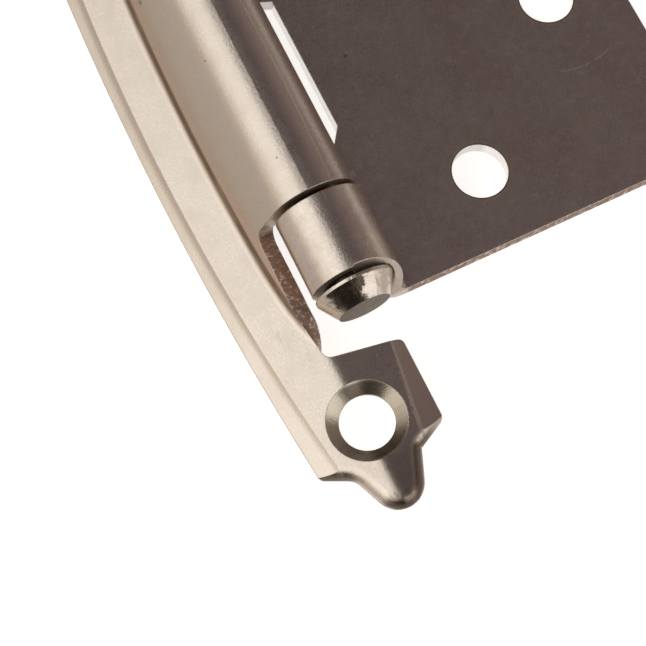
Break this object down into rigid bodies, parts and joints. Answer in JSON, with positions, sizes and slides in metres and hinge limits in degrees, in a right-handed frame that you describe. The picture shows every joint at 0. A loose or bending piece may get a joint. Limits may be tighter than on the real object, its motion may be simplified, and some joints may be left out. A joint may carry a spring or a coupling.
{
  "type": "spring loaded door hinge",
  "caption": "Face-mounted self-closing cabinet door hinge in satin nickel: bowed frame wing with pointed tabs, wrapped barrel, rolled knuckles, flat door leaf.",
  "frame": {"origin": "midway between the frame wing's two screw holes, on the wing's flat back", "axes": "+X from the frame wing towards the door leaf, +Y along the barrel, +Z out of the wing's back towards its front"},
  "size_m": [0.0427, 0.07, 0.0119],
  "materials": {
    "nickel_plated_sheet": "satin",
    "nickel_plated_pin": "satin",
    "spring_steel": "oiled"
  },
  "bodies": {
    "frame": {"frame_wing": "nickel_plated_sheet", "closing_spring": "spring_steel"},
    "leaf": {"door_leaf": "nickel_plated_sheet", "hinge_pin": "nickel_plated_pin"}
  },
  "joints": [
    {"name": "leaf_swing", "type": "hinge", "parent": "frame", "child": "leaf", "pos_m": [0.0036, 0, 0.00415], "axis": [0, -1, 0], "range_deg": [0, 180], "stiffness_Nm_per_rad": 0.08, "springref_deg": -34.38, "deforming": ["closing_spring"]}
  ]
}
